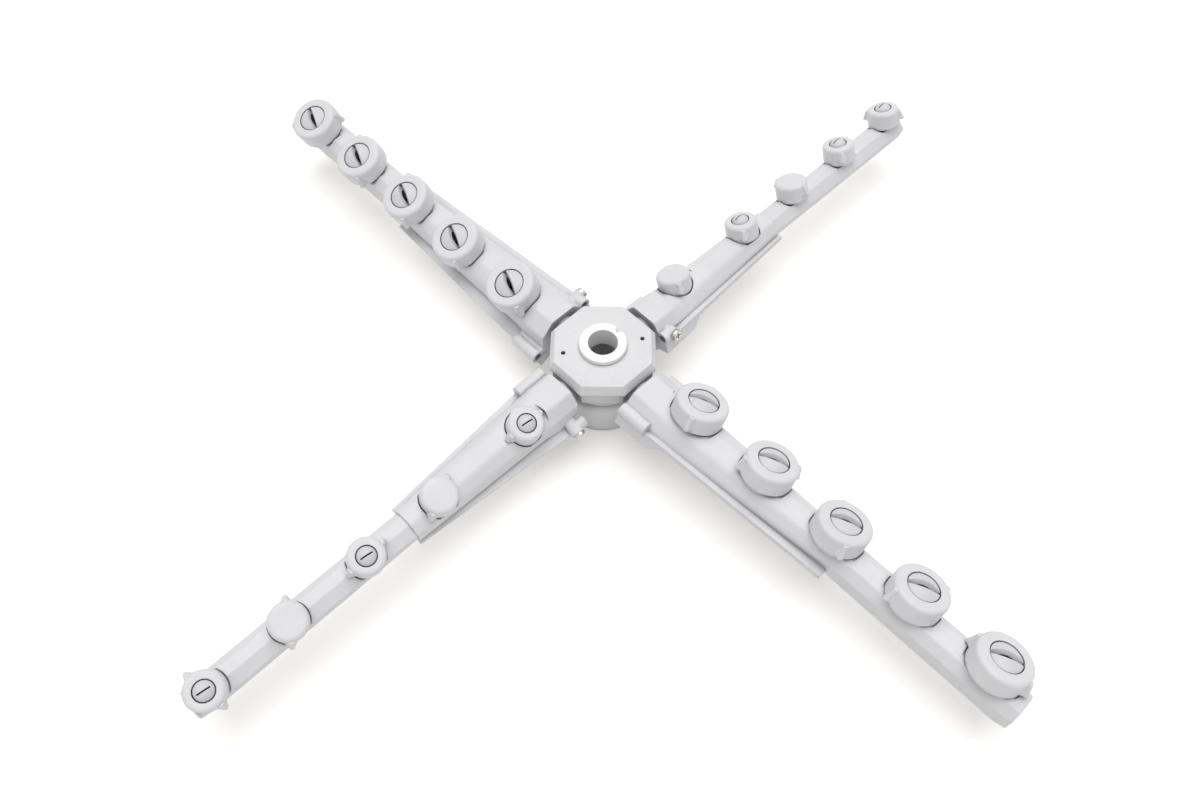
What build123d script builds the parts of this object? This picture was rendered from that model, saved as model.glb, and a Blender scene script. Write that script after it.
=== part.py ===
from build123d import *
from dataclasses import dataclass
from math import cos, radians, sin, tan
import os

# Combined wash and rinse spray arm of a commercial dishwasher. A hub turns on a flanged bush
# and carries two wash arms along X and two rinse arms along Y, each with five leaning nozzles.
# Millimetres. The origin is on the hub's axis at the underside of the feed collar, +Z is up.

# Arms, the same for all four
arm_axis_height = 32.1      # height of the arm axes where they meet the hub's axis
arm_droop = 1.06            # degrees, the arms slope down towards their tips
nozzle_tilt = 21.0          # degrees, every nozzle leans the same way round, to push the arms round
shell_wall = 2.0            # moulded wall of the shells
nozzle_count = 5            # on each arm
tip_taper = 5.0             # length of the narrowed tip
tip_share = 0.9             # size of the end face against the section before it
parting_drop = 4.6          # arm's centre to the face where its shells meet, square to the nozzles
flange_thick = 1.0          # weld flange of one shell
flange_start = 4.7          # root's inner face to where the flange begins
edge_round = 0.9            # rounding of the moulded edges

# Arm roots, the blocks that slide over the hub's spigots
root_gap = 2.35             # hub to the root's inner face
root_length = 12.7
root_blend = 9.0            # length over which a root turns into the rounded arm
root_round = 2.5            # rounding of the root's edges
root_flat = 7.2             # half the width of the flat top
root_top = 10.2
root_shoulder = 3.2
root_lower_shoulder = -7.0
root_bottom_flat = 8.0
root_bottom = -12.5
skirt_depth = 6.5           # lower shell's edge beside the root, below the face where the shells meet
skirt_length = 29.0
skirt_taper = 8.0           # length over which it runs out into the flange

# Bosses at the sides of the roots and the screws that lock the arms to the spigots
boss_radius = 3.4
boss_inset = 2.0            # edge of the flange to the boss axis
boss_rise = 2.3             # boss axis above the face where the shells meet
boss_long = 16.5            # boss on the side without a screw
boss_short = 6.0            # boss on the side with a screw
boss_hole = 4.2             # diameter of the open end that faces the hub
boss_hole_depth = 5.0
screw_place = 6.1           # root's inner face to the screw axis
screw_boss = 3.5            # radius
screw_thread = 3.0          # diameter
screw_head = 5.8            # diameter of the pan head
screw_head_height = 2.1
screw_cross = 3.4           # length, width and depth of the cross recess
screw_cross_width = 0.8
screw_cross_depth = 1.1
screw_depth = 1.2           # how far the tip enters the spigot's wall

# Wash arms: rounded inner half, faceted outer half, large fan nozzles
wash_offset = 2.7           # hub axis to the nozzles' plane, sideways
wash_tip_reach = 17.9       # last nozzle to the end of the arm
wash_first = 57.3           # hub axis to the first nozzle
wash_second = 100.3
wash_pitch = 41.6
wash_ring = 19.3            # arm's centre to the top of a cap, along the nozzle
wash_root_half = 14.5
wash_waist = 148.0          # where the rounded half and its flange end
wash_flange_half = 19.8     # half widths of the flange at its two ends
wash_flange_end = 13.7
wash_cap_radius = 13.0
wash_cap_height = 10.0
wash_hole_radius = 7.75
wash_dome_rise = 1.9        # dome above the cap's top
wash_lug_lift = 1.6         # cap's underside to the underside of a lug

# Rinse arms: slimmer, with small slit nozzles and blank caps
rinse_offset = 1.6
rinse_tip_reach = 8.9
rinse_first = 56.0
rinse_second = 108.2
rinse_pitch = 41.3
rinse_ring = 15.0
rinse_root_half = 12.0
rinse_waist = 126.0
rinse_flange_half = 17.2
rinse_flange_end = 10.4
rinse_cap_radius = 8.75
rinse_cap_height = 9.7
rinse_hole_radius = 4.85
rinse_dome_rise = 2.4
rinse_slit_width = 0.65
rinse_slit_share = 0.62     # slit's length against the hole's diameter
rinse_lug_lift = 3.2

# Caps and inserts, shared by both sizes
cap_top_thick = 2.4
cap_skirt = 2.3             # wall of the skirt that holds the thread
cap_round = 2.0             # rounding of the top edge
cap_lift = 1.4              # cap's underside to the seat that it is screwed down towards
cap_clear = 0.6             # around a cap in its seat
lug_width = 7.0
lug_reach = 2.9             # at the underside of a lug
lug_top_reach = 1.0
lug_nose = 3.0
lug_drop = 1.4              # cap's top to the top of a lug
groove_gap = 0.45           # open ring between a cap's hole and the dome
insert_flange = 1.8
gasket_thick = 1.2
insert_tail = 5.0           # length of the insert inside the stub
insert_wall = 1.4
stub_wall = 2.0
vee_angle = 50.0            # opening angle of a wash nozzle's groove
vee_depth = 4.2             # dome's top to the bottom of the groove
dome_skin = 2.2             # dome's top to the crown of the bore

# Hub, measured from the arm axes
cover_rise = 11.9           # arm axes to the cover's top
cover_flats = 47.5          # across flats of the top face
cover_bevel = 2.2
cover_bevel_drop = 4.4
cover_height = 5.0
key_hole = 2.2              # diameter of the two holes for a pin wrench
key_hole_radius = 19.8
key_hole_depth = 3.0
key_hole_angle = 58.0       # degrees from the first wash arm
body_flats = 49.0
tier_drop = 1.7             # arm axes to the underside of the octagonal tier
column_radius = 21.0
chamber_radius = 15.5
chamber_roof = 2.0
spigot_radius = 6.6
spigot_wall = 2.0
spigot_reach = 13.2         # root's inner face to the end of the spigot
seal_width = 2.0
seal_place = 10.5           # root's inner face to the middle of the seal
seal_depth = 1.0
sleeve_radius = 18.5        # lower sleeve of the body, inside the collar

# Feed collar and lower bush
collar_radius = 22.5
collar_height = 21.5
collar_round = 4.5
collar_lip = 1.5
feed_radius = 15.0          # bore of the lower bush, which runs on the feed pipe
lower_bush_wall = 2.5
lower_bush_height = 6.7

# Top bush, which the arms turn on
spindle_radius = 7.3
bush_wall = 2.2
bush_flange_radius = 11.75
bush_flange_thick = 2.5
bush_notch_radius = 9.1     # hub axis to the corner of the square notch in the flange
bush_tail = 1.9             # sleeve below the chamber's roof
clip_thick = 1.0
clip_width = 2.6
clip_groove = 0.8

# Clearances
running_gap = 0.05          # radial, between the bush and the hub
loose_gap = 0.3             # between pieces that turn against each other
seat_gap = 0.1              # around pieces that push together by hand


@dataclass
class Section:
    """An eight-sided section of an arm: half widths and heights from its centre."""
    flat: float             # half the flat top
    top: float
    half: float             # half the full width, between the two shoulders
    shoulder: float
    lower_shoulder: float
    bottom_flat: float
    bottom: float
    rounding: float = edge_round

    def face(self, station, centre, inset=0.0, scale=1.0):
        """The section as a face square to the arm, drawn in by a wall where it bounds the bore."""
        side = [
            (self.flat - inset / 2, self.top - inset),
            (self.half - inset, self.shoulder - inset / 2),
            (self.half - inset, self.lower_shoulder + inset / 2),
            (self.bottom_flat - inset / 2, self.bottom + inset),
        ]
        outline = side + [(-y, z) for y, z in reversed(side)]
        outline = [(centre + y * scale, z * scale) for y, z in outline]
        flat_face = make_face(Polyline(*outline, close=True))
        flat_face = fillet(flat_face.vertices(), max(self.rounding - inset / 2, edge_round / 2))
        return Plane.YZ.offset(station) * flat_face


@dataclass
class ArmForm:
    """The sizes that differ between wash and rinse arms."""
    offset: float
    tip_reach: float
    first: float
    second: float
    pitch: float
    ring: float
    waist: float
    flange_half: float
    flange_end: float
    cap_radius: float
    cap_height: float
    hole_radius: float
    dome_rise: float
    lug_lift: float
    fan: bool
    root: Section
    inner: Section
    waisted: Section
    outer: Section

    @property
    def stations(self):
        """Distances of the five nozzles from the hub's axis."""
        return [self.first] + [self.second + i * self.pitch for i in range(nozzle_count - 1)]

    @property
    def tip(self):
        return self.stations[-1] + self.tip_reach

    @property
    def seat(self):
        """Height, along a nozzle, of the face under its cap."""
        return self.ring - self.cap_height - cap_lift

    @property
    def pocket_radius(self):
        return self.cap_radius + cap_clear

    @property
    def lug_bottom(self):
        return self.ring - self.cap_height + self.lug_lift

    @property
    def skirt_bore(self):
        return self.cap_radius - cap_skirt

    @property
    def stub_radius(self):
        return self.skirt_bore - loose_gap

    @property
    def stub_bore(self):
        return self.stub_radius - stub_wall

    @property
    def flange_top(self):
        """Top of the insert's flange, just under the cap's inside face."""
        return self.ring - cap_top_thick - loose_gap

    @property
    def stub_top(self):
        return self.flange_top - insert_flange - gasket_thick

    @property
    def tail_bottom(self):
        return self.stub_top - insert_tail

    @property
    def dome_radius(self):
        return self.hole_radius - groove_gap

    @property
    def boss_offset(self):
        """Nozzles' plane to the axes of the bosses at the root."""
        return self.flange_half - boss_inset

    @property
    def spigot_side(self):
        """Spigot's axis in the leaning frame of the nozzles, sideways."""
        return -self.offset * cos(radians(nozzle_tilt))

    @property
    def spigot_height(self):
        return -self.offset * sin(radians(nozzle_tilt))


def root_section(half):
    lower = (root_lower_shoulder, root_bottom_flat, root_bottom)
    return Section(root_flat, root_top, half, root_shoulder, *lower, root_round)


wash = ArmForm(
    offset=wash_offset, tip_reach=wash_tip_reach,
    first=wash_first, second=wash_second, pitch=wash_pitch,
    ring=wash_ring, waist=wash_waist, flange_half=wash_flange_half, flange_end=wash_flange_end,
    cap_radius=wash_cap_radius, cap_height=wash_cap_height,
    hole_radius=wash_hole_radius, dome_rise=wash_dome_rise, lug_lift=wash_lug_lift, fan=True,
    root=root_section(wash_root_half),
    inner=Section(
        flat=6.6, top=9.6, half=14.0, shoulder=2.8,
        lower_shoulder=-6.0, bottom_flat=8.0, bottom=-12.0, rounding=8.0,
    ),
    waisted=Section(
        flat=4.3, top=9.0, half=8.7, shoulder=4.6,
        lower_shoulder=-5.0, bottom_flat=5.0, bottom=-9.5, rounding=4.0,
    ),
    outer=Section(
        flat=4.3, top=9.0, half=8.7, shoulder=4.6,
        lower_shoulder=-5.0, bottom_flat=5.0, bottom=-9.5, rounding=1.6,
    ),
)
rinse = ArmForm(
    offset=rinse_offset, tip_reach=rinse_tip_reach,
    first=rinse_first, second=rinse_second, pitch=rinse_pitch,
    ring=rinse_ring, waist=rinse_waist, flange_half=rinse_flange_half, flange_end=rinse_flange_end,
    cap_radius=rinse_cap_radius, cap_height=rinse_cap_height,
    hole_radius=rinse_hole_radius, dome_rise=rinse_dome_rise, lug_lift=rinse_lug_lift, fan=False,
    root=root_section(rinse_root_half),
    inner=Section(
        flat=5.6, top=8.6, half=11.6, shoulder=2.4,
        lower_shoulder=-5.0, bottom_flat=6.5, bottom=-11.0, rounding=5.0,
    ),
    waisted=Section(
        flat=4.0, top=7.2, half=8.6, shoulder=1.8,
        lower_shoulder=-3.4, bottom_flat=4.6, bottom=-9.4, rounding=3.6,
    ),
    outer=Section(
        flat=3.0, top=5.8, half=7.8, shoulder=1.1,
        lower_shoulder=-2.0, bottom_flat=4.0, bottom=-8.4, rounding=1.2,
    ),
)


@dataclass
class Arm:
    """One arm: its kind, direction, which side its screw is on, and how its jets and caps are turned."""
    name: str
    form: ArmForm
    azimuth: float
    screw_side: int         # 0 for no screw
    slot_angle: float
    lug_angles: list
    blanks: tuple = ()


arms = [
    Arm("wash_front", wash, 0.0, 0, 27.0, [105, 45, 125, 55, 175]),
    Arm("wash_rear", wash, 180.0, -1, -24.0, [150, 135, 130, 135, 50]),
    Arm("rinse_right", rinse, 90.0, -1, -7.0, [65, 50, 95, 50, 115], (1, 3)),
    Arm("rinse_left", rinse, -90.0, 1, -7.0, [0, 30, 5, 60, 100], (2, 4)),
]


# Places along every arm that go with the hub's size
root_start = max(cover_flats / 2 + cover_bevel, body_flats / 2) + root_gap
root_end = root_start + root_length
screw_station = root_start + screw_place
seal_station = root_start + seal_place
spigot_end = root_start + spigot_reach


def arm_place(arm):
    """From an arm's own frame, X outwards and Z up, to the part's frame."""
    return Pos(0, 0, arm_axis_height) * Rot(0, 0, arm.azimuth) * Rot(0, arm_droop, 0)


def leaning(form):
    """From the leaning frame that the nozzles, flange and bosses share to the arm's frame."""
    return Pos(0, form.offset, 0) * Rot(-nozzle_tilt, 0, 0)


def nozzle_place(form, index):
    """From a nozzle's frame, Z along its axis from the arm's centre, to the arm's frame."""
    return leaning(form) * Pos(form.stations[index], 0, 0)


def disc(radius, low, high):
    """A solid cylinder on Z between two heights."""
    return Pos(0, 0, low) * Cylinder(radius, high - low, align=(Align.CENTER, Align.CENTER, Align.MIN))


def ring(outer, inner, low, high):
    return disc(outer, low, high) - disc(inner, low - 1, high + 1)


def octagon(flats, low, high, bevel=0.0):
    """An octagonal block with flats square to X and Y; bevel narrows its top."""
    base = RegularPolygon(flats / 2 + bevel, 8, major_radius=False, rotation=22.5)
    if not bevel:
        return Pos(0, 0, low) * extrude(base, high - low)
    top = RegularPolygon(flats / 2, 8, major_radius=False, rotation=22.5)
    return loft([Pos(0, 0, low) * base, Pos(0, 0, high) * top])


def along_arm(radius, start, end, side=0.0, height=0.0):
    """A cylinder along an arm's X axis."""
    bar = Cylinder(radius, end - start, align=(Align.CENTER, Align.CENTER, Align.MIN))
    return Pos(start, side, height) * Rot(0, 90, 0) * bar


def across_arm(radius, start, end, station, height):
    """A cylinder square to an arm, from one sideways place to another."""
    bar = Cylinder(radius, abs(end - start), align=(Align.CENTER, Align.CENTER, Align.MIN))
    return Pos(station, start, height) * Rot(-90 if end > start else 90, 0, 0) * bar


def arm_body(form):
    """Outside of an arm: root block, rounded inner half, faceted outer half and tip."""
    side = form.offset
    taper_start = form.tip - tip_taper
    spans = [
        (form.root.face(root_start, 0), form.root.face(root_end, 0)),
        (form.root.face(root_end, 0), form.inner.face(root_end + root_blend, 0)),
        (form.inner.face(root_end + root_blend, 0), form.waisted.face(form.waist, side)),
        (form.outer.face(form.waist, side), form.outer.face(taper_start, side)),
        (form.outer.face(taper_start, side), form.outer.face(form.tip, side, scale=tip_share)),
    ]
    body = loft(spans[0])
    for span in spans[1:]:
        body += loft(span)
    return body


def arm_bore(form):
    """Water way inside an arm, kept a wall below the seats, with the socket for the spigot."""
    start = root_end + shell_wall
    end = form.tip - tip_taper - shell_wall / 2
    waist = form.outer.face(form.waist, form.offset, shell_wall)
    bore = loft([form.inner.face(start, 0, shell_wall), waist])
    bore += loft([waist, form.outer.face(end, form.offset, shell_wall)])
    for i in range(nozzle_count):
        kept = disc(form.pocket_radius + shell_wall, form.seat - shell_wall, form.ring)
        bore -= nozzle_place(form, i) * kept
    return bore + along_arm(spigot_radius + seat_gap, root_start - 1, start + 1)


def flange_plan(form, start):
    """Plan of the flange from a place near the root to the waist, in the leaning frame."""
    points = [(start, form.flange_half), (form.waist, form.flange_end)]
    outline = points + [(x, -y) for x, y in reversed(points)]
    return make_face(Polyline(*outline, close=True))


def flange_plates(form):
    """Weld flanges of both shells along the inner half, in the leaning frame."""
    plate = extrude(flange_plan(form, root_start + flange_start), 2 * flange_thick)
    return Pos(0, 0, -parting_drop - flange_thick) * plate


def root_skirt(form):
    """Deeper edge of the lower shell beside the root, in the leaning frame."""
    plate = Pos(0, 0, -skirt_depth) * extrude(flange_plan(form, root_start), skirt_depth)
    end = root_start + skirt_length
    side = [(root_start, 0), (end, 0), (end - skirt_taper, -skirt_depth), (root_start, -skirt_depth)]
    slab = extrude(Plane.XZ * make_face(Polyline(*side, close=True)), form.flange_half, both=True)
    return Pos(0, 0, -parting_drop) * (plate & slab)


boss_height = boss_rise - parting_drop


def screw_seat(form):
    """Nozzles' plane to the face under a screw's head, just clear of the boss beside it."""
    return form.boss_offset + boss_radius + seat_gap


def screw_tip(arm):
    """Sideways place of a screw's tip, in the wall of its spigot."""
    form = arm.form
    across = (spigot_radius ** 2 - (boss_height - form.spigot_height) ** 2) ** 0.5
    return form.spigot_side + arm.screw_side * (across - screw_depth)


def boss_length(arm, side):
    return boss_short if side == arm.screw_side else boss_long


def bosses(arm):
    """Bosses at both sides of the root, in the leaning frame."""
    form = arm.form
    pieces = []
    for side in (-1, 1):
        length = boss_length(arm, side)
        place = side * form.boss_offset
        pieces.append(along_arm(boss_radius, root_start, root_start + length, place, boss_height))
        web = Box(length, form.boss_offset, boss_radius, align=(Align.MIN, Align.CENTER, Align.CENTER))
        pieces.append(Pos(root_start, place / 2, boss_height) * web)
    return Part() + pieces


def boss_holes(form):
    """Open ends of the bosses that face the hub."""
    end = root_start + boss_hole_depth
    sides = (form.boss_offset, -form.boss_offset)
    return Part() + [along_arm(boss_hole / 2, root_start - 1, end, side, boss_height) for side in sides]


def screw_post(arm):
    """Boss under a screw's head."""
    seat = arm.screw_side * screw_seat(arm.form)
    return across_arm(screw_boss, arm.form.spigot_side, seat, screw_station, boss_height)


def screw_hole(arm):
    outside = arm.screw_side * (screw_seat(arm.form) + 1)
    return across_arm(screw_thread / 2 + seat_gap, screw_tip(arm), outside, screw_station, boss_height)


def cap_pocket(form):
    """Room around a cap, wider from the undersides of its lugs upwards."""
    top = form.ring + form.cap_radius
    lugs = disc(form.cap_radius + lug_reach + loose_gap, form.lug_bottom - loose_gap, top)
    return disc(form.pocket_radius, form.seat, top) + lugs


def arm_whole(arm):
    """Both shells of an arm in one piece."""
    form = arm.form
    body = arm_body(form)
    for i in range(nozzle_count):
        body -= nozzle_place(form, i) * cap_pocket(form)
    for i in range(nozzle_count):
        body += nozzle_place(form, i) * disc(form.stub_radius, form.seat - shell_wall, form.stub_top)
    lean = leaning(form)
    body += lean * flange_plates(form)
    body += lean * root_skirt(form)
    body += lean * bosses(arm)
    if arm.screw_side:
        body += lean * screw_post(arm)
    body -= arm_bore(form)
    body -= lean * boss_holes(form)
    if arm.screw_side:
        body -= lean * screw_hole(arm)
    way = disc(form.stub_bore, form.tail_bottom, form.ring) + disc(form.stub_bore - stub_wall, 0, form.ring)
    for i in range(nozzle_count):
        body -= nozzle_place(form, i) * way
    return body


def shells(arm):
    """Upper and lower shell, parted square to the nozzles."""
    whole = arm_whole(arm)
    reach = 3 * arm.form.tip
    block = Box(reach, reach, reach, align=(Align.CENTER, Align.CENTER, Align.MIN))
    above = leaning(arm.form) * Pos(0, 0, -parting_drop) * block
    return whole & above, whole - above


def lug_plan(form, reach, height):
    """Plan of a lug on the outward X side of a cap, with a round nose."""
    root = form.cap_radius - cap_skirt / 2
    nose = form.cap_radius + reach
    half = lug_nose / 2
    flank = Polyline((nose - half, half), (root, lug_width / 2), (root, -lug_width / 2), (nose - half, -half))
    tip = ThreePointArc((nose - half, -half), (nose, 0), (nose - half, half))
    return Pos(0, 0, height) * make_face([flank, tip])


def cap_lug(form):
    """One lug, which stands out most at its underside."""
    top = lug_plan(form, lug_top_reach, form.ring - lug_drop)
    return loft([lug_plan(form, lug_reach, form.lug_bottom), top])


def cap(form, lug_angle, blank):
    """Screw cap with two lugs; a blank one has no hole and a thicker top that closes the stub."""
    bottom = form.ring - form.cap_height
    body = disc(form.cap_radius, bottom, form.ring)
    body = fillet(body.edges().group_by(Axis.Z)[-1], min(cap_round, cap_skirt - loose_gap))
    lug = cap_lug(form)
    for turn in (0, 180):
        body += Rot(0, 0, lug_angle + turn) * lug
    inside = form.stub_top + gasket_thick + loose_gap if blank else form.ring - cap_top_thick
    body -= disc(form.skirt_bore, bottom - 1, inside)
    if not blank:
        body -= disc(form.hole_radius, 0, form.ring + 1)
    return body


def insert(form, slot_angle):
    """Nozzle insert: flange, dome through the cap's hole and a hollow tail, with its jet opening."""
    tail_radius = form.stub_bore - seat_gap
    bore_radius = tail_radius - insert_wall
    dome_top = form.ring + form.dome_rise
    crown = dome_top - dome_skin
    tail_bottom = form.tail_bottom + seat_gap
    shoulder = form.ring - loose_gap
    body = disc(tail_radius, tail_bottom, form.flange_top)
    body += disc(form.stub_radius - seat_gap, form.flange_top - insert_flange, form.flange_top)
    rise = dome_top - shoulder
    ball = (form.dome_radius ** 2 + rise ** 2) / (2 * rise)
    neck = disc(form.dome_radius, form.flange_top - insert_flange, dome_top)
    body += neck & (Pos(0, 0, dome_top - ball) * Sphere(ball))
    body -= disc(bore_radius, tail_bottom - 1, crown - bore_radius)
    body -= Pos(0, 0, crown - bore_radius) * Sphere(bore_radius)
    return body - Rot(0, 0, slot_angle) * jet_cut(form, dome_top)


def jet_cut(form, dome_top):
    """Groove that opens the dome: a vee on a wash nozzle, a narrow slit on a rinse nozzle."""
    length = 2 * form.hole_radius
    bottom = dome_top - vee_depth
    if form.fan:
        wide = (vee_depth + 1) * tan(radians(vee_angle / 2))
        points = [(0, bottom), (wide, dome_top + 1), (-wide, dome_top + 1)]
        section = Plane.YZ.offset(-length / 2) * make_face(Polyline(*points, close=True))
        return extrude(section, length)
    across = length * rinse_slit_share
    slit = Box(across, rinse_slit_width, vee_depth + 1, align=(Align.CENTER, Align.CENTER, Align.MIN))
    return Pos(0, 0, bottom) * slit


def gasket(form):
    """Flat ring between a stub and what its cap holds down."""
    return ring(form.stub_radius - seat_gap, form.stub_bore, form.stub_top, form.stub_top + gasket_thick)


def lock_screw(arm):
    """Pan-head screw through the root's boss, with its tip in the spigot's wall, in the leaning frame."""
    side = arm.screw_side
    seat = side * screw_seat(arm.form)
    top = seat + side * screw_head_height
    body = across_arm(screw_thread / 2, screw_tip(arm) + side * seat_gap, seat, screw_station, boss_height)
    head = across_arm(screw_head / 2, seat, top, screw_station, boss_height)
    rim = head.edges().filter_by(GeomType.CIRCLE).group_by(Axis.Y)[-1 if side > 0 else 0]
    head = fillet(rim, screw_head_height / 2)
    bar = Box(screw_cross, 2 * screw_cross_depth, screw_cross_width)
    cross = bar + Rot(0, 90, 0) * bar
    return body + (head - Pos(screw_station, top, boss_height) * cross)


seal_start = seal_station - seal_width / 2
seal_end = seal_station + seal_width / 2


def seal():
    """Ring in a spigot's groove that closes the gap to the arm's socket."""
    tube = along_arm(spigot_radius + seat_gap / 2, seal_start, seal_end)
    return tube - along_arm(spigot_radius - seal_depth, seal_start - 1, seal_end + 1)


cover_top = arm_axis_height + cover_rise
body_top = cover_top - cover_height
tier_bottom = arm_axis_height - tier_drop
roof_bottom = body_top - chamber_roof
bush_radius = spindle_radius + bush_wall
hub_bore = bush_radius + running_gap
lower_bush_radius = feed_radius + lower_bush_wall
lower_bush_top = collar_lip + lower_bush_height


def hub_body():
    """Octagonal tier on a round column, open below, with a spigot for each arm."""
    body = octagon(body_flats, tier_bottom, body_top)
    body += disc(column_radius, collar_height + loose_gap, tier_bottom)
    body += disc(sleeve_radius, lower_bush_top + seat_gap, tier_bottom)
    for arm in arms:
        body += arm_place(arm) * along_arm(spigot_radius, chamber_radius, spigot_end)
    body -= disc(chamber_radius, 0, roof_bottom)
    body -= disc(hub_bore, 0, cover_top)
    for arm in arms:
        place = arm_place(arm)
        body -= place * along_arm(spigot_radius - spigot_wall, chamber_radius / 2, spigot_end + 1)
        groove = along_arm(spigot_radius + 1, seal_start - seat_gap, seal_end + seat_gap)
        body -= place * (groove - along_arm(spigot_radius - seal_depth - seat_gap, root_start, spigot_end))
        if arm.screw_side:
            body -= place * leaning(arm.form) * screw_hole(arm)
    return body


def hub_cover():
    """Bevelled octagonal cover with two holes for a pin wrench."""
    bevel_bottom = cover_top - cover_bevel_drop
    body = octagon(cover_flats, bevel_bottom, cover_top, cover_bevel)
    body += octagon(cover_flats + 2 * cover_bevel, body_top, bevel_bottom)
    body -= disc(hub_bore, 0, cover_top + 1)
    for turn in (0, 180):
        hole = Pos(key_hole_radius, 0, 0) * disc(key_hole / 2, cover_top - key_hole_depth, cover_top + 1)
        body -= Rot(0, 0, key_hole_angle + turn) * hole
    return body


def feed_collar():
    """Round collar that the hub stands on; the feed pipe enters from below."""
    body = disc(collar_radius, 0, collar_height)
    top_width = collar_radius - sleeve_radius - seat_gap
    body = fillet(body.edges().group_by(Axis.Z)[-1], min(collar_round, top_width - seat_gap))
    body -= disc(sleeve_radius + seat_gap, lower_bush_top, collar_height + 1)
    body -= disc(lower_bush_radius + seat_gap, collar_lip, collar_height)
    return body - disc(feed_radius + 2 * loose_gap, -1, collar_height)


def lower_bush():
    return ring(lower_bush_radius, feed_radius, collar_lip, lower_bush_top)


bush_top = cover_top + loose_gap + bush_flange_thick
bush_bottom = roof_bottom - bush_tail
clip_top = roof_bottom - loose_gap


def top_bush():
    """Flanged sleeve that stays still on the machine's spindle, with a square notch in its flange."""
    body = disc(bush_radius, bush_bottom, bush_top)
    body += disc(bush_flange_radius, cover_top + loose_gap, bush_top)
    body -= disc(spindle_radius, bush_bottom - 1, bush_top + 1)
    corner = (Align.MIN, Align.MIN, Align.CENTER)
    notch = Box(bush_flange_radius, bush_flange_radius, 2 * bush_flange_thick, align=corner)
    body -= Pos(0, bush_notch_radius, bush_top) * Rot(0, 0, 45) * notch
    groove_bottom = clip_top - clip_thick - seat_gap
    return body - ring(bush_radius + 1, bush_radius - clip_groove, groove_bottom, clip_top + seat_gap)


def bush_clip():
    """Split ring in the bush's groove that keeps it in the hub."""
    inner = bush_radius - clip_groove + seat_gap
    body = ring(inner + clip_width, inner, clip_top - clip_thick, clip_top)
    gap = Pos(inner + clip_width / 2, 0, clip_top) * Box(2 * clip_width, clip_width, 4 * clip_thick)
    return body - gap


os.makedirs("parts", exist_ok=True)


def save(name, shape):
    export_step(shape, f"parts/{name}.step")


save("hub_body", hub_body())
save("hub_cover", hub_cover())
save("feed_collar", feed_collar())
save("lower_bush", lower_bush())
save("top_bush", top_bush())
save("bush_clip", bush_clip())
save("arm_seals", Compound([arm_place(arm) * seal() for arm in arms]))
screwed = [arm for arm in arms if arm.screw_side]
save("lock_screws", Compound([arm_place(arm) * leaning(arm.form) * lock_screw(arm) for arm in screwed]))

for form, kind in ((wash, "wash"), (rinse, "rinse")):
    washer = gasket(form)
    washers = []
    for arm in arms:
        if arm.form is not form:
            continue
        place = arm_place(arm)
        jet = insert(form, arm.slot_angle)
        upper, lower = shells(arm)
        save(f"{arm.name}_upper_shell", place * upper)
        save(f"{arm.name}_lower_shell", place * lower)
        for i in range(nozzle_count):
            number = i + 1
            at = place * nozzle_place(form, i)
            blank = number in arm.blanks
            cap_name = "blank_cap" if blank else "cap"
            save(f"{arm.name}_{cap_name}_{number}", at * cap(form, arm.lug_angles[i], blank))
            washers.append(at * washer)
            if not blank:
                save(f"{arm.name}_nozzle_{number}", at * jet)
    save(f"{kind}_gaskets", Compound(washers))
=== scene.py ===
import math

import bpy
from bpy.props import FloatProperty, FloatVectorProperty, PointerProperty
from mathutils import Euler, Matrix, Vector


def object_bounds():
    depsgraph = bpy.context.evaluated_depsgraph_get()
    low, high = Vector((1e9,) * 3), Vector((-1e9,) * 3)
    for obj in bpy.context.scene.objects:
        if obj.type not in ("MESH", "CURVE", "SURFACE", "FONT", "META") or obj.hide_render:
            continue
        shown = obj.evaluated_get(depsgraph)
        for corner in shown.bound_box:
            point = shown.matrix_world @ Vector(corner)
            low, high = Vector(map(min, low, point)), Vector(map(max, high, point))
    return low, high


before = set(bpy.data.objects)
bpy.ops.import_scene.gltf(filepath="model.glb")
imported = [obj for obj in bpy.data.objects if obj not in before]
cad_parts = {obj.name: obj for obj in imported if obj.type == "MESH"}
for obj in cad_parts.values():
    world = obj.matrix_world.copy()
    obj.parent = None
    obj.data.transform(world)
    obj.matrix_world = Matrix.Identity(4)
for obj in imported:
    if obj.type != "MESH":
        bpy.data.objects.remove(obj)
cad_box = [list(corner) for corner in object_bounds()]

bl_info = {
    "name": "Spray Arm Dresser",
    "version": (1, 0, 0),
    "blender": (4, 5, 0),
    "location": "3D View > Sidebar > Spray Arm",
    "description": "Moulded plastic, steel and rubber finishes for a dishwasher spray arm, and its stage",
    "category": "Material",
}

noise_low, noise_high = 0.3, 0.7  # where most values of a noise texture lie
edge_paleness = 1.12  # worn plastic edges against the plastic
floor_shade = 0.985  # darkest clouds of the floor against its colour
floor_gap = 0.0001  # metres between the floor and the part, so that no faces coincide
nearest_seen = 0.01  # metres from the camera
white = (1.0, 1.0, 1.0, 1.0)
grey = (0.8, 0.8, 0.8, 1.0)


def colour(name, words, value):
    """A colour that a user can change in the sidebar."""
    return FloatVectorProperty(
        name=name, description=words, default=value, size=3, subtype="COLOR", min=0.0, max=1.0)


def share(name, words, value):
    """A part of one, shown as a slider."""
    return FloatProperty(name=name, description=words, default=value, min=0.0, max=1.0, subtype="FACTOR")


def length(name, words, value):
    """A length in metres."""
    return FloatProperty(
        name=name, description=words, default=value, min=0.0, precision=5, unit="LENGTH", subtype="DISTANCE")


def angle(name, words, degrees):
    """An angle, given in degrees."""
    return FloatProperty(name=name, description=words, default=math.radians(degrees), subtype="ANGLE")


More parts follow.
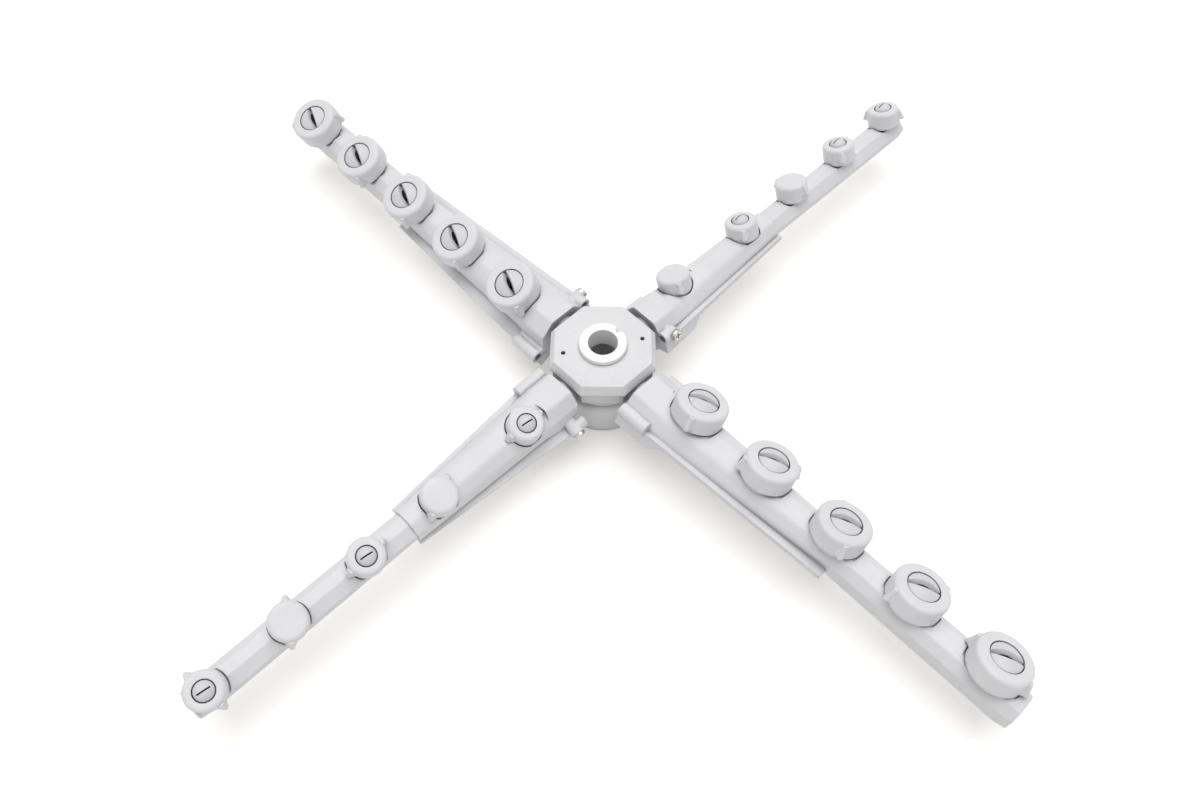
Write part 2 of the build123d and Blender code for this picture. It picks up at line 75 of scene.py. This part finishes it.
class SprayArmPlastic(bpy.types.PropertyGroup):
    """Finish of the moulded grey plastic pieces."""

    shell: colour("Shells", "Colour of the arms' shells", (0.742, 0.738, 0.755))
    hub: colour("Hub", "Colour of the hub's body, cover and collar", (0.748, 0.744, 0.758))
    cap: colour("Caps", "Colour of the screw caps", (0.752, 0.752, 0.770))
    nozzle: colour("Nozzles", "Colour of the nozzle inserts", (0.690, 0.684, 0.700))
    drift: share("Colour drift", "How far the colour wanders over a piece", 0.05)
    roughness: share("Roughness", "Mean roughness of the satin skin", 0.42)
    edge: length("Edge rounding", "Radius that moulded edges are softened by", 0.0006)
    wear: share("Edge wear", "How pale the rubbed edges are", 0.2)
    # painted shade: the colour is darkened in narrow gaps, where little of the sky is open
    gap_shade: share("Gap shade", "How dark the narrow gaps are", 0.8)
    gap_shade_reach: length("Gap shade reach", "Width of the gaps that get painted shade", 0.007)
    grain: length("Grain", "Size of the fine grain of the mould's skin", 0.0004)


class SprayArmTrim(bpy.types.PropertyGroup):
    """Finish of the bushes, seals and fasteners."""

    bush: colour("Bushes", "Colour of the bushes' white bearing plastic", (0.930, 0.930, 0.925))
    rubber: colour("Seals", "Colour of the seals and gaskets", (0.035, 0.035, 0.037))
    steel: colour("Steel", "Colour of the screws and the clip", (0.580, 0.572, 0.550))
    steel_roughness: share("Steel roughness", "Mean roughness of the steel", 0.24)
    lines: length("Turning lines", "Distance between the lines left by the lathe", 0.0003)


class SprayArmStage(bpy.types.PropertyGroup):
    """Floor, light and camera."""

    floor: colour("Floor", "Colour of the floor", (0.90, 0.896, 0.886))
    floor_lift: share("Floor lift", "Light added to the floor where the camera sees it", 0.28)
    lift_colour: colour("Lift colour", "Colour of the light added to the floor", (1.0, 0.978, 0.930))
    contact: length("Contact shadow", "Reach of the darker floor beside the part", 0.02)
    floor_size: length("Floor size", "Side of the square floor", 6.0)
    ambient: share("Ambient", "Strength of the light from all round", 0.44)
    key: FloatProperty(
        name="Key light", description="Strength of the soft overhead lamp", default=1.80, min=0.0)
    key_spread: angle("Key spread", "Angle that the lamp spans", 60)
    key_lean: angle("Key lean", "Lamp's angle from straight overhead", 7)
    key_turn: angle("Key turn", "Lamp's angle round the hub", 135)
    lens: FloatProperty(
        name="Lens", description="Focal length", default=30.24, min=1.0, subtype="DISTANCE_CAMERA")
    sensor: FloatProperty(
        name="Sensor", description="Width of the sensor", default=36.0, min=1.0, subtype="DISTANCE_CAMERA")
    eye: FloatVectorProperty(
        name="Eye", description="Place of the camera", default=(0.1982, -0.19534, 0.45047),
        subtype="TRANSLATION")
    azimuth: angle("Azimuth", "Camera's angle round the hub", 45.71)
    elevation: angle("Elevation", "Camera's angle above the horizon", 58.69)


def new_group(name, inputs, outputs):
    """An empty shader group with named sockets, each given as (name, kind, default)."""
    group = bpy.data.node_groups.new(name, "ShaderNodeTree")
    for label, kind, value in inputs:
        socket = group.interface.new_socket(label, in_out="INPUT", socket_type=kind)
        socket.default_value = value
    for label, kind in outputs:
        group.interface.new_socket(label, in_out="OUTPUT", socket_type=kind)
    return group, group.nodes.new("NodeGroupInput").outputs, group.nodes.new("NodeGroupOutput").inputs


def add(tree, kind, settings=(), **values):
    """A node with its settings and its inputs' values; a socket given as a value is linked."""
    node = tree.nodes.new(kind)
    for key, value in dict(settings).items():
        setattr(node, key, value)
    for key, value in values.items():
        socket = node.inputs[int(key[1:])] if key[0] == "_" else node.inputs[key.replace("_", " ")]
        if isinstance(value, bpy.types.NodeSocket):
            tree.links.new(value, socket)
        else:
            socket.default_value = value
    return node


def sums(tree, operation, *values):
    """The result of a Math node."""
    inputs = {f"_{i}": value for i, value in enumerate(values)}
    return add(tree, "ShaderNodeMath", {"operation": operation}, **inputs).outputs[0]


def remap(tree, value, low, high, start=0.0, end=1.0):
    """Maps a value from start..end to low..high, which may be sockets."""
    return add(tree, "ShaderNodeMapRange", _0=value, _1=start, _2=end, _3=low, _4=high).outputs[0]


def either_side(tree, middle, reach):
    """The values a reach below and above a middle."""
    return sums(tree, "SUBTRACT", middle, reach), sums(tree, "ADD", middle, reach)


def scaled(tree, base, factor):
    """A colour made darker or paler by a factor."""
    return add(tree, "ShaderNodeVectorMath", {"operation": "SCALE"}, _0=base, Scale=factor).outputs[0]


def mix(tree, factor, first, second):
    """A blend of two colours."""
    node = add(tree, "ShaderNodeMix", {"data_type": "RGBA"}, _0=factor, _6=first, _7=second)
    return node.outputs[2]


def object_place(tree):
    """Place on the piece, in its own frame."""
    return tree.nodes.new("ShaderNodeTexCoord").outputs["Object"]


def noise(tree, place, scale, detail, roughness=0.5):
    """A noise texture's value."""
    node = add(tree, "ShaderNodeTexNoise", Vector=place, Scale=scale, Detail=detail, Roughness=roughness)
    return node.outputs[0]


def colour_drift_group():
    """Slow wandering of a moulded colour, with fine specks."""
    group, given, out = new_group("Colour drift", [
        ("Colour", "NodeSocketColor", grey),
        ("Amount", "NodeSocketFloat", 0.05),
        ("Scale", "NodeSocketFloat", 30.0),
    ], [("Colour", "NodeSocketColor")])
    specks_per_cloud = 14.0
    speck_share = 0.35
    place = object_place(group)
    cloud = noise(group, place, given["Scale"], detail=4.0, roughness=0.6)
    fine = sums(group, "MULTIPLY", given["Scale"], specks_per_cloud)
    speck = noise(group, place, fine, detail=3.0, roughness=0.7)
    slow = sums(group, "MULTIPLY", cloud, 1.0 - speck_share)
    mixed = sums(group, "MULTIPLY_ADD", speck, speck_share, slow)
    low, high = either_side(group, 1.0, given["Amount"])
    factor = remap(group, mixed, low, high, start=noise_low, end=noise_high)
    group.links.new(scaled(group, given["Colour"], factor), out["Colour"])
    return group


def mould_skin_group():
    """Fine grain of a mould's skin: roughness that varies and a height for a bump."""
    group, given, out = new_group("Mould skin", [
        ("Size", "NodeSocketFloat", 0.0004),
        ("Roughness", "NodeSocketFloat", 0.42),
        ("Spread", "NodeSocketFloat", 0.06),
    ], [("Roughness", "NodeSocketFloat"), ("Height", "NodeSocketFloat")])
    polish_rate, wave_rate = 0.02, 0.05  # how often they come, against the grain
    wave_height = 0.8
    place = object_place(group)
    often = sums(group, "DIVIDE", 1.0, given["Size"])
    pits = add(
        group, "ShaderNodeTexVoronoi", {"feature": "SMOOTH_F1"}, Vector=place, Scale=often, Smoothness=0.6)
    polish = noise(group, place, sums(group, "MULTIPLY", often, polish_rate), detail=5.0, roughness=0.65)
    wave = noise(group, place, sums(group, "MULTIPLY", often, wave_rate), detail=2.0)
    low, high = either_side(group, given["Roughness"], given["Spread"])
    rough = remap(group, polish, low, high, start=noise_low, end=noise_high)
    group.links.new(rough, out["Roughness"])
    group.links.new(sums(group, "MULTIPLY_ADD", wave, wave_height, pits.outputs[0]), out["Height"])
    return group


def soft_edge_group():
    """Rounded edges: a normal that bends round each corner, and a colour that is paler along it."""
    group, given, out = new_group("Soft edge", [
        ("Colour", "NodeSocketColor", grey),
        ("Edge Colour", "NodeSocketColor", (0.9, 0.9, 0.9, 1.0)),
        ("Radius", "NodeSocketFloat", 0.0006),
        ("Wear", "NodeSocketFloat", 0.3),
    ], [("Colour", "NodeSocketColor"), ("Normal", "NodeSocketVector")])
    flat_match, edge_match = 0.99, 0.80  # how far the rounded normal agrees with the face's own
    breaks = 420.0  # scale of the noise that breaks the worn line up
    rounded = add(group, "ShaderNodeBevel", {"samples": 6}, Radius=given["Radius"]).outputs[0]
    flat = group.nodes.new("ShaderNodeNewGeometry").outputs["Normal"]
    match = add(group, "ShaderNodeVectorMath", {"operation": "DOT_PRODUCT"}, _0=rounded, _1=flat)
    edge = remap(group, match.outputs["Value"], 0.0, given["Wear"], start=flat_match, end=edge_match)
    broken = noise(group, object_place(group), breaks, detail=4.0, roughness=0.7)
    worn = sums(group, "MULTIPLY", edge, broken)
    group.links.new(mix(group, worn, given["Colour"], given["Edge Colour"]), out["Colour"])
    group.links.new(rounded, out["Normal"])
    return group


def crevice_shade_group():
    """Painted shade: darkens a colour in narrow gaps, where the part closes off much of the sky."""
    group, given, out = new_group("Crevice shade", [
        ("Colour", "NodeSocketColor", grey),
        ("Reach", "NodeSocketFloat", 0.004),
        ("Amount", "NodeSocketFloat", 0.4),
    ], [("Colour", "NodeSocketColor")])
    open_share = 0.7  # where more of the sky than this is open, no shade is painted
    sky = add(group, "ShaderNodeAmbientOcclusion", {"samples": 8}, Distance=given["Reach"]).outputs["AO"]
    darkest = sums(group, "SUBTRACT", 1.0, given["Amount"])
    factor = remap(group, sky, darkest, 1.0, end=open_share)
    group.links.new(scaled(group, given["Colour"], factor), out["Colour"])
    return group


def turned_group():
    """Fine rings about the hub's axis, as a lathe leaves them, as a height and a roughness."""
    group, given, out = new_group("Turned", [
        ("Spacing", "NodeSocketFloat", 0.0003),
        ("Roughness", "NodeSocketFloat", 0.3),
        ("Spread", "NodeSocketFloat", 0.08),
    ], [("Roughness", "NodeSocketFloat"), ("Height", "NodeSocketFloat")])
    apart = add(group, "ShaderNodeSeparateXYZ", Vector=object_place(group)).outputs
    across = add(group, "ShaderNodeCombineXYZ", X=apart[0], Y=apart[1]).outputs[0]
    radius = add(group, "ShaderNodeVectorMath", {"operation": "LENGTH"}, _0=across).outputs["Value"]
    count = sums(group, "DIVIDE", sums(group, "ADD", radius, apart[2]), given["Spacing"])
    lines = add(
        group, "ShaderNodeTexNoise", {"noise_dimensions": "1D"},
        W=count, Scale=1.0, Detail=3.0, Roughness=0.7)
    low, high = either_side(group, given["Roughness"], given["Spread"])
    group.links.new(remap(group, lines.outputs[0], low, high), out["Roughness"])
    group.links.new(lines.outputs[0], out["Height"])
    return group


effects = {
    "Colour drift": colour_drift_group,
    "Mould skin": mould_skin_group,
    "Soft edge": soft_edge_group,
    "Crevice shade": crevice_shade_group,
    "Turned": turned_group,
}


def effect(tree, name, **values):
    """A shared group in a material, with its own values; it is built the first time it is asked for."""
    group = bpy.data.node_groups.get(name) or effects[name]()
    return add(tree, "ShaderNodeGroup", {"node_tree": group}, **values).outputs


def new_material(name, roughness, **constants):
    """A material with one Principled shader; constants go on the shader's own sockets."""
    material = bpy.data.materials.new(name)
    material.use_nodes = True
    shader = material.node_tree.nodes["Principled BSDF"]
    shader.inputs["Roughness"].default_value = roughness
    for key, value in constants.items():
        shader.inputs[key.replace("_", " ")].default_value = value
    return material, material.node_tree, shader.inputs


def join(tree, shader, base, skin, bump, depth, **rounded):
    """Links a colour, a skin's roughness and its bump to a shader; the bump may lie on a rounded Normal."""
    raised = add(tree, "ShaderNodeBump", Strength=bump, Distance=depth, Height=skin["Height"], **rounded)
    tree.links.new(base, shader["Base Color"])
    tree.links.new(skin["Roughness"], shader["Roughness"])
    tree.links.new(raised.outputs[0], shader["Normal"])


def moulded_plastic(name, base, finish, drift_scale, bump=0.06):
    """Satin moulded plastic: wandering colour, softened paler edges, painted shade in narrow gaps and a fine
    skin.
    """
    material, tree, shader = new_material(name, finish.roughness, Specular_IOR_Level=0.42)
    drift = effect(tree, "Colour drift", Colour=(*base, 1.0), Amount=finish.drift, Scale=drift_scale)
    pale = [min(1.0, c * edge_paleness) for c in base]
    edge = effect(
        tree, "Soft edge", Colour=drift["Colour"], Edge_Colour=(*pale, 1.0),
        Radius=finish.edge, Wear=finish.wear)
    # painted shade: the colour is darkened in narrow gaps, where little of the sky is open
    gap = effect(tree, "Crevice shade", Colour=edge["Colour"], Reach=finish.gap_shade_reach, Amount=finish.gap_shade)
    skin = effect(tree, "Mould skin", Size=finish.grain, Roughness=finish.roughness, Spread=0.06)
    join(tree, shader, gap["Colour"], skin, bump=bump, depth=finish.grain, Normal=edge["Normal"])
    return material


def bearing_plastic(name, trim):
    """White bearing plastic, turned on a lathe."""
    roughness = 0.32
    material, tree, shader = new_material(name, roughness, Specular_IOR_Level=0.5)
    drift = effect(tree, "Colour drift", Colour=(*trim.bush, 1.0), Amount=0.02, Scale=60.0)
    edge = effect(
        tree, "Soft edge", Colour=drift["Colour"], Edge_Colour=(0.98, 0.98, 0.98, 1.0),
        Radius=0.0004, Wear=0.4)
    lines = effect(tree, "Turned", Spacing=trim.lines, Roughness=roughness, Spread=0.07)
    join(tree, shader, edge["Colour"], lines, bump=0.05, depth=trim.lines, Normal=edge["Normal"])
    return material


def seal_rubber(name, trim):
    """Black rubber with a pale bloom."""
    material, tree, shader = new_material(name, roughness=0.7, Specular_IOR_Level=0.35)
    drift = effect(tree, "Colour drift", Colour=(*trim.rubber, 1.0), Amount=0.35, Scale=90.0)
    skin = effect(tree, "Mould skin", Size=0.0005, Roughness=0.68, Spread=0.1)
    join(tree, shader, drift["Colour"], skin, bump=0.15, depth=0.0004)
    return material


def bright_steel(name, trim):
    """Bright stainless steel with a fine grain and softened edges."""
    material, tree, shader = new_material(name, trim.steel_roughness, Metallic=1.0)
    drift = effect(tree, "Colour drift", Colour=(*trim.steel, 1.0), Amount=0.12, Scale=220.0)
    edge = effect(
        tree, "Soft edge", Colour=drift["Colour"], Edge_Colour=(0.82, 0.82, 0.83, 1.0),
        Radius=0.0003, Wear=0.7)
    skin = effect(tree, "Mould skin", Size=0.00025, Roughness=trim.steel_roughness, Spread=0.08)
    join(tree, shader, edge["Colour"], skin, bump=0.06, depth=0.0002, Normal=edge["Normal"])
    return material


def dress(material, *parts):
    """Gives the nodes whose names hold one of these parts a material."""
    found = [node for name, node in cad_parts.items() if any(part in name for part in parts)]
    if not found:
        raise RuntimeError(f"no node for {parts}")
    for node in found:
        node.data.materials.clear()
        node.data.materials.append(material)


class SPRAYARM_OT_shells(bpy.types.Operator):
    """Dresses the eight shells of the wash and rinse arms"""

    bl_idname = "sprayarm.shells"
    bl_label = "Dress Arm Shells"

    def execute(self, context):
        finish = context.scene.sprayarm_plastic
        dress(moulded_plastic("Arm plastic", finish.shell, finish, drift_scale=24.0), "_shell")
        return {"FINISHED"}


class SPRAYARM_OT_hub(bpy.types.Operator):
    """Dresses the hub's body and cover and the feed collar"""

    bl_idname = "sprayarm.hub"
    bl_label = "Dress Hub"

    def execute(self, context):
        finish = context.scene.sprayarm_plastic
        material = moulded_plastic("Hub plastic", finish.hub, finish, drift_scale=40.0)
        dress(material, "hub_body", "hub_cover", "feed_collar")
        return {"FINISHED"}


class SPRAYARM_OT_caps(bpy.types.Operator):
    """Dresses the twenty screw caps"""

    bl_idname = "sprayarm.caps"
    bl_label = "Dress Screw Caps"

    def execute(self, context):
        finish = context.scene.sprayarm_plastic
        dress(moulded_plastic("Cap plastic", finish.cap, finish, drift_scale=70.0, bump=0.08), "_cap_")
        return {"FINISHED"}


class SPRAYARM_OT_nozzles(bpy.types.Operator):
    """Dresses the nozzle inserts"""

    bl_idname = "sprayarm.nozzles"
    bl_label = "Dress Nozzles"

    def execute(self, context):
        finish = context.scene.sprayarm_plastic
        material = moulded_plastic("Nozzle plastic", finish.nozzle, finish, drift_scale=110.0, bump=0.04)
        dress(material, "_nozzle_")
        return {"FINISHED"}


class SPRAYARM_OT_bushes(bpy.types.Operator):
    """Dresses the top and lower bush"""

    bl_idname = "sprayarm.bushes"
    bl_label = "Dress Bushes"

    def execute(self, context):
        dress(bearing_plastic("Bearing plastic", context.scene.sprayarm_trim), "top_bush", "lower_bush")
        return {"FINISHED"}


class SPRAYARM_OT_seals(bpy.types.Operator):
    """Dresses the seals and gaskets"""

    bl_idname = "sprayarm.seals"
    bl_label = "Dress Seals"

    def execute(self, context):
        dress(seal_rubber("Seal rubber", context.scene.sprayarm_trim), "_seals", "_gaskets")
        return {"FINISHED"}


class SPRAYARM_OT_fasteners(bpy.types.Operator):
    """Dresses the locking screws and the bush's clip"""

    bl_idname = "sprayarm.fasteners"
    bl_label = "Dress Fasteners"

    def execute(self, context):
        dress(bright_steel("Bright steel", context.scene.sprayarm_trim), "lock_screws", "bush_clip")
        return {"FINISHED"}


def looked_at(tree):
    """One where a surface is seen directly, mirrored or through something clear, else nothing."""
    path = tree.nodes.new("ShaderNodeLightPath").outputs
    mirrored = sums(tree, "MAXIMUM", path["Is Glossy Ray"], path["Is Transmission Ray"])
    return sums(tree, "MAXIMUM", path["Is Camera Ray"], mirrored)


def floor_material(stage):
    """Pale floor that keeps the shadow and reads as white where it is lit."""
    material, tree, shader = new_material("Pale floor", roughness=0.9, Specular_IOR_Level=0.0)
    low = [c * floor_shade for c in stage.floor]
    cloud = noise(tree, object_place(tree), scale=3.0, detail=3.0)
    tree.links.new(mix(tree, cloud, (*low, 1.0), (*stage.floor, 1.0)), shader["Base Color"])
    # painted contact shadow: the added light is cut back beside the part, where little of the sky is open
    clear = add(tree, "ShaderNodeAmbientOcclusion", {"samples": 8}, Distance=stage.contact).outputs["AO"]
    lift = sums(tree, "MULTIPLY", looked_at(tree), sums(tree, "MULTIPLY", clear, stage.floor_lift))
    shader["Emission Color"].default_value = (*stage.lift_colour, 1.0)
    tree.links.new(lift, shader["Emission Strength"])
    return material


def make_floor(stage):
    """The floor, a hair under the part."""
    half = stage.floor_size / 2
    corners = [(-half, -half, 0), (half, -half, 0), (half, half, 0), (-half, half, 0)]
    mesh = bpy.data.meshes.new("Floor")
    mesh.from_pydata(corners, [], [(0, 1, 2, 3)])
    mesh.materials.append(floor_material(stage))
    floor = bpy.data.objects.new("Floor", mesh)
    floor.location.z = cad_box[0][2] - floor_gap
    return floor


def make_key(stage):
    """The soft lamp overhead."""
    lamp = bpy.data.lights.new("Overhead key", "SUN")
    lamp.energy = stage.key
    lamp.angle = stage.key_spread
    key = bpy.data.objects.new("Overhead key", lamp)
    key.rotation_euler = (0.0, stage.key_lean, stage.key_turn)
    return key


def make_camera(stage):
    """The camera, where the photograph was taken from."""
    lens = bpy.data.cameras.new("Photo camera")
    lens.lens = stage.lens
    lens.sensor_width = stage.sensor
    lens.clip_start = nearest_seen
    camera = bpy.data.objects.new("Photo camera", lens)
    camera.location = stage.eye
    camera.rotation_euler = Euler((math.pi / 2 - stage.elevation, 0.0, stage.azimuth))
    return camera


def white_world(stage):
    """A world that lights from all round and is white where it is seen or mirrored."""
    world = bpy.data.worlds.new("Soft white room")
    world.use_nodes = True
    tree = world.node_tree
    back = tree.nodes["Background"].inputs
    back["Color"].default_value = white
    tree.links.new(remap(tree, looked_at(tree), stage.ambient, 1.0), back["Strength"])
    return world


class SPRAYARM_OT_stage(bpy.types.Operator):
    """Makes the floor, the light and the camera"""

    bl_idname = "sprayarm.stage"
    bl_label = "Set Stage"

    def execute(self, context):
        scene = context.scene
        stage = scene.sprayarm_stage
        floor = make_floor(stage)
        camera = make_camera(stage)
        for item in (floor, make_key(stage), camera):
            scene.collection.objects.link(item)
        scene.world = white_world(stage)
        scene.camera = camera
        scene.view_settings.view_transform = "Standard"
        return {"FINISHED"}


class SPRAYARM_PT_dresser(bpy.types.Panel):
    """Lists the dressing steps and their values"""

    bl_idname = "SPRAYARM_PT_dresser"
    bl_label = "Spray Arm"
    bl_space_type = "VIEW_3D"
    bl_region_type = "UI"
    bl_category = "Spray Arm"

    def draw(self, context):
        for operator in steps:
            self.layout.operator(operator.bl_idname)
        for name in value_groups:
            values = getattr(context.scene, name)
            box = self.layout.box()
            for key in values.bl_rna.properties.keys():
                if key not in ("rna_type", "name"):
                    box.prop(values, key)


value_groups = {
    "sprayarm_plastic": SprayArmPlastic,
    "sprayarm_trim": SprayArmTrim,
    "sprayarm_stage": SprayArmStage,
}
steps = (
    SPRAYARM_OT_stage,
    SPRAYARM_OT_shells,
    SPRAYARM_OT_hub,
    SPRAYARM_OT_caps,
    SPRAYARM_OT_nozzles,
    SPRAYARM_OT_bushes,
    SPRAYARM_OT_seals,
    SPRAYARM_OT_fasteners,
)


def register():
    for name, group in value_groups.items():
        bpy.utils.register_class(group)
        setattr(bpy.types.Scene, name, PointerProperty(type=group))
    for item in (*steps, SPRAYARM_PT_dresser):
        bpy.utils.register_class(item)


def unregister():
    for item in (SPRAYARM_PT_dresser, *reversed(steps)):
        bpy.utils.unregister_class(item)
    for name, group in value_groups.items():
        delattr(bpy.types.Scene, name)
        bpy.utils.unregister_class(group)


def main():
    register()
    bpy.ops.sprayarm.stage()
    bpy.ops.sprayarm.shells()
    bpy.ops.sprayarm.hub()
    bpy.ops.sprayarm.caps()
    bpy.ops.sprayarm.nozzles()
    bpy.ops.sprayarm.bushes()
    bpy.ops.sprayarm.seals()
    bpy.ops.sprayarm.fasteners()
    bpy.context.view_layer.update()


if __name__ == "__main__":
    main()
